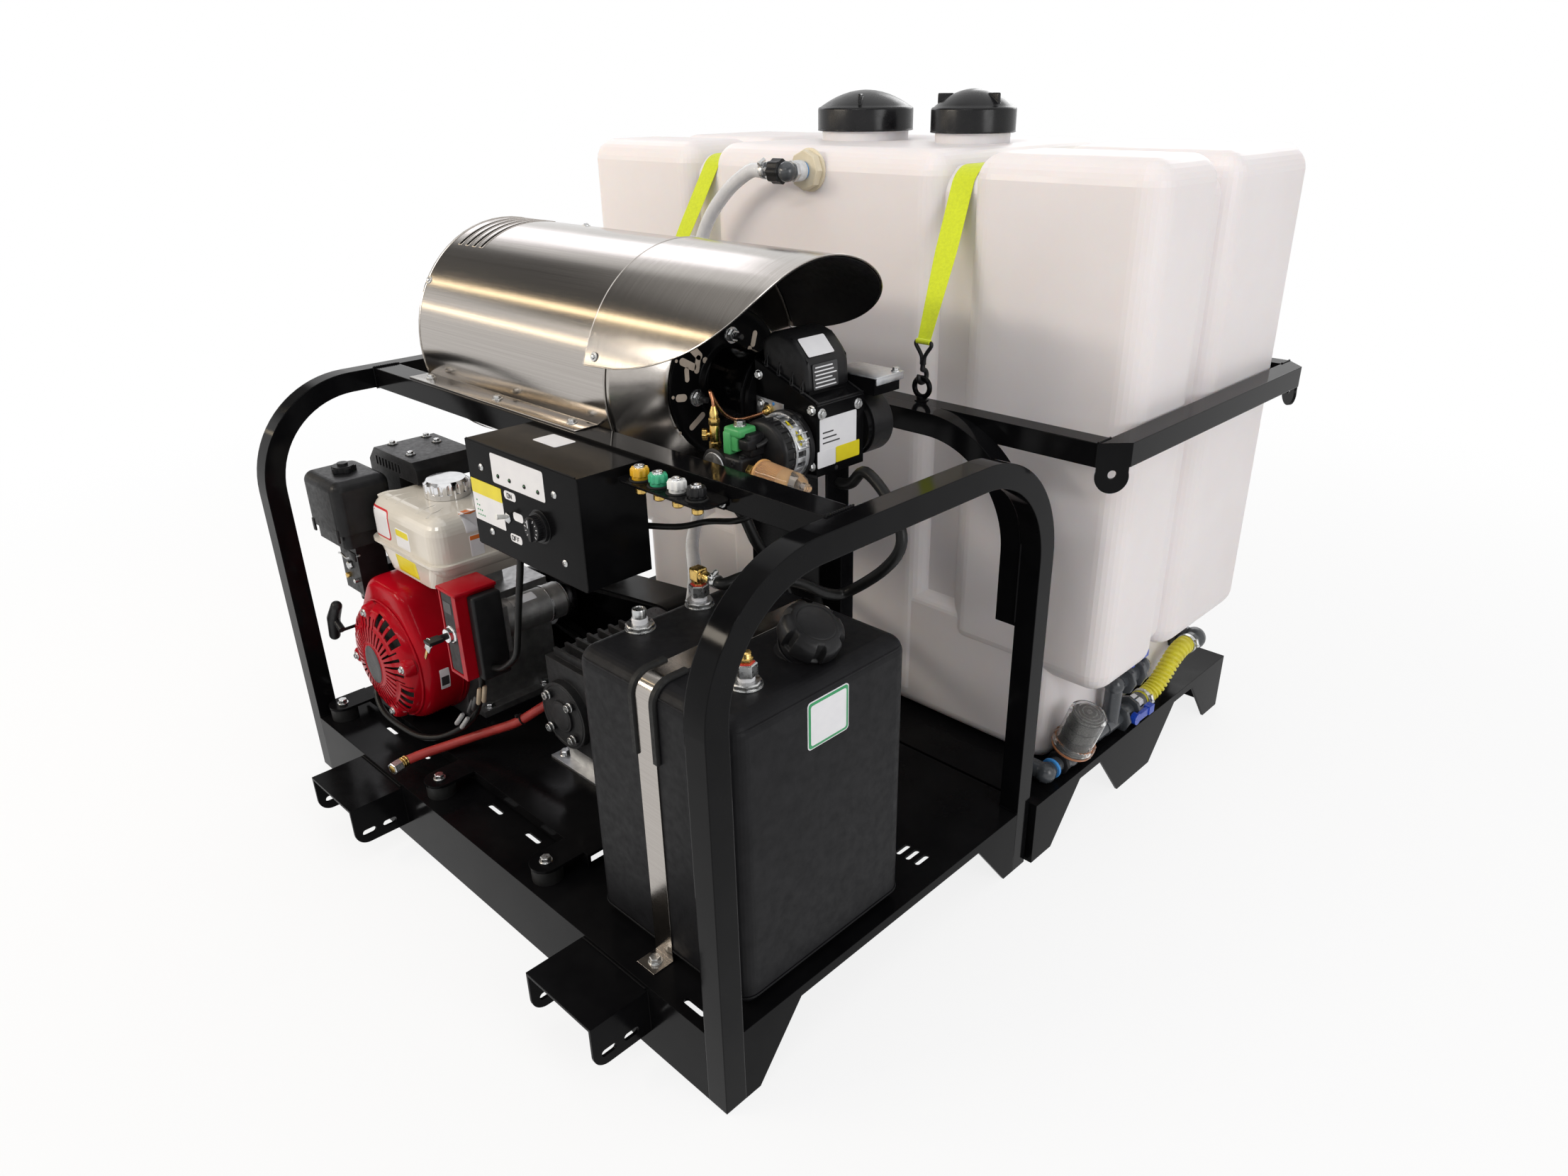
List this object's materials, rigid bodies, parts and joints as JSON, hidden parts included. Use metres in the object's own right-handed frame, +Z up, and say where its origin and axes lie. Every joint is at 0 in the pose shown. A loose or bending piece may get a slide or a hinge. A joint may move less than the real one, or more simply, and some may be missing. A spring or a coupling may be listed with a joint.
{
  "type": "pressure washer",
  "caption": "Hot-water pressure washer on a tube-frame skid with engine, belt-driven pump, oil burner coil and diesel tank, joined to a caged water-tank skid.",
  "frame": {"origin": "centre of the footprint, on the floor", "axes": "+Z up, -Y the front with the control panel, +X the right side with the diesel tank"},
  "size_m": [1.469, 1.627, 1.298],
  "materials": {
    "frame_black": "gloss black powder coat",
    "rubber": "matte black rubber",
    "zinc": "zinc plated",
    "engine_metal": "dark cast metal",
    "engine_red": "gloss red",
    "pearl": "gloss cream",
    "chrome": "bright chrome",
    "black_plastic": "matte black",
    "steel": "machined steel",
    "pump_grey": "dark grey casting",
    "brass": "plain brass",
    "galvanised": "galvanised",
    "diesel_poly": "charcoal moulded plastic",
    "stainless": "brushed stainless",
    "water_poly": "creamy white translucent plastic",
    "webbing": "woven yellow webbing",
    "pvc": "grey pipe",
    "blue": "blue handle",
    "clear": "clear plastic bowl",
    "hose_yellow": "yellow ribbed hose",
    "hose_clear": "pale braided hose",
    "hose_red": "brick red hose",
    "hose_black": "black hose",
    "noz_yellow": "yellow nozzle",
    "noz_green": "green nozzle",
    "noz_white": "white nozzle"
  },
  "bodies": {
    "skid": {"machine_base": "frame_black", "side_hoops": "frame_black", "rear_hoop": "frame_black", "front_rail": "frame_black", "engine_plate": "frame_black", "rubber_isolators": "rubber", "fasteners": "zinc", "engine_block": "engine_metal", "fan_cover": "engine_red", "recoil_cover": "engine_red", "engine_fuel_tank": "pearl", "air_cleaner_base": "black_plastic", "air_cleaner_cover": "black_plastic", "muffler_guard": "black_plastic", "key_box": "engine_red", "pump_crankcase": "pump_grey", "pump_manifold": "brass", "drive_belts": "rubber", "belt_guard": "frame_black", "pump_bracket": "galvanised", "diesel_tank": "diesel_poly", "diesel_strap": "stainless", "diesel_fittings": "zinc", "control_box": "frame_black", "nozzle_rack": "frame_black", "coil_shell": "stainless", "wind_hood": "stainless", "burner_plate": "frame_black", "heating_coil": "steel", "burner_housing": "frame_black", "burner_motor": "engine_metal", "burner_column": "frame_black", "tank_base": "frame_black", "tank_cage": "frame_black", "water_tank": "water_poly", "tank_straps": "webbing", "tank_fittings": "pvc", "suction_hose": "hose_yellow", "bypass_hose": "hose_clear", "drain_hose": "hose_red", "fuel_hoses": "hose_black"},
    "crankshaft": {"crankshaft": "steel"},
    "pump_shaft": {"pump_shaft": "steel"},
    "recoil_grip": {"recoil_grip": "black_plastic"},
    "engine_fuel_cap": {"engine_fuel_cap": "chrome"},
    "air_cleaner_knob": {"air_cleaner_knob": "black_plastic"},
    "ignition_key": {"ignition_key": "black_plastic"},
    "diesel_cap": {"diesel_cap": "black_plastic"},
    "thermostat_knob": {"thermostat_knob": "black_plastic"},
    "burner_switch": {"burner_switch": "chrome"},
    "nozzle_yellow": {"nozzle_yellow": "noz_yellow"},
    "nozzle_green": {"nozzle_green": "noz_green"},
    "nozzle_white": {"nozzle_white": "noz_white"},
    "nozzle_black": {"nozzle_black": "black_plastic"},
    "air_shutter": {"air_shutter": "black_plastic"},
    "tank_lid_main": {"tank_lid_main": "black_plastic"},
    "tank_lid_small": {"tank_lid_small": "black_plastic"},
    "valve_handle_upper": {"valve_handle_upper": "blue"},
    "valve_handle_lower": {"valve_handle_lower": "blue"},
    "strainer_bowl": {"strainer_bowl": "clear"}
  },
  "joints": [
    {"name": "crankshaft_turn", "type": "hinge", "parent": "skid", "child": "crankshaft", "pos_m": [-0.4245, -0.4115, 0.297], "axis": [0, -1, 0], "continuous": true},
    {"name": "pump_shaft_turn", "type": "hinge", "parent": "skid", "child": "pump_shaft", "pos_m": [0.0115, -0.3115, 0.3], "axis": [0, -1, 0], "continuous": true},
    {"name": "recoil_grip_slide", "type": "slide", "parent": "skid", "child": "recoil_grip", "axis": [0, -1, 0], "range_m": [0, 0.3], "stiffness_N_per_m": 25},
    {"name": "engine_fuel_cap_turn", "type": "hinge", "parent": "skid", "child": "engine_fuel_cap", "pos_m": [-0.3635, -0.4715, 0.615], "axis": [0, 0, 1], "range_deg": [0, 90]},
    {"name": "air_cleaner_knob_turn", "type": "hinge", "parent": "skid", "child": "air_cleaner_knob", "pos_m": [-0.569, -0.574, 0.64], "axis": [0, 0, 1], "continuous": true},
    {"name": "ignition_key_turn", "type": "hinge", "parent": "skid", "child": "ignition_key", "pos_m": [-0.1805, -0.6115, 0.429], "axis": [0, -1, 0], "range_deg": [0, 90]},
    {"name": "diesel_cap_turn", "type": "hinge", "parent": "skid", "child": "diesel_cap", "pos_m": [0.5355, -0.4495, 0.59], "axis": [0.5, 0, 0.866], "continuous": true},
    {"name": "thermostat_knob_turn", "type": "hinge", "parent": "skid", "child": "thermostat_knob", "pos_m": [0.1295, -0.5815, 0.712], "axis": [0, -1, 0], "range_deg": [0, 270]},
    {"name": "burner_switch_turn", "type": "hinge", "parent": "skid", "child": "burner_switch", "pos_m": [0.0405, -0.5735, 0.703], "axis": [1, 0, 0], "range_deg": [0, 28]},
    {"name": "nozzle_yellow_slide", "type": "slide", "parent": "skid", "child": "nozzle_yellow", "axis": [0, 0, 1], "range_m": [0, 0.06]},
    {"name": "nozzle_green_slide", "type": "slide", "parent": "skid", "child": "nozzle_green", "axis": [0, 0, 1], "range_m": [0, 0.06]},
    {"name": "nozzle_white_slide", "type": "slide", "parent": "skid", "child": "nozzle_white", "axis": [0, 0, 1], "range_m": [0, 0.06]},
    {"name": "nozzle_black_slide", "type": "slide", "parent": "skid", "child": "nozzle_black", "axis": [0, 0, 1], "range_m": [0, 0.06]},
    {"name": "air_shutter_turn", "type": "hinge", "parent": "skid", "child": "air_shutter", "pos_m": [0.3645, -0.15092, 0.822], "axis": [0, 1, 0], "range_deg": [0, 60]},
    {"name": "tank_lid_main_turn", "type": "hinge", "parent": "skid", "child": "tank_lid_main", "pos_m": [-0.116, 0.4355, 1.205], "axis": [0, 0, 1], "continuous": true},
    {"name": "tank_lid_small_turn", "type": "hinge", "parent": "skid", "child": "tank_lid_small", "pos_m": [0.152, 0.4355, 1.205], "axis": [0, 0, 1], "continuous": true},
    {"name": "valve_handle_upper_turn", "type": "hinge", "parent": "skid", "child": "valve_handle_upper", "pos_m": [0.6225, 0.3985, 0.268], "axis": [0, 0, -1], "range_deg": [0, 90]},
    {"name": "valve_handle_lower_turn", "type": "hinge", "parent": "skid", "child": "valve_handle_lower", "pos_m": [0.6475, 0.3985, 0.15], "axis": [1, 0, 0], "range_deg": [0, 90]},
    {"name": "strainer_bowl_turn", "type": "hinge", "parent": "skid", "child": "strainer_bowl", "pos_m": [0.6225, 0.1855, 0.15], "axis": [0.309, 0, 0.9511], "continuous": true}
  ],
  "couplings": [
    {"joint": "pump_shaft_turn", "follows": "crankshaft_turn", "ratio": 0.4661}
  ]
}
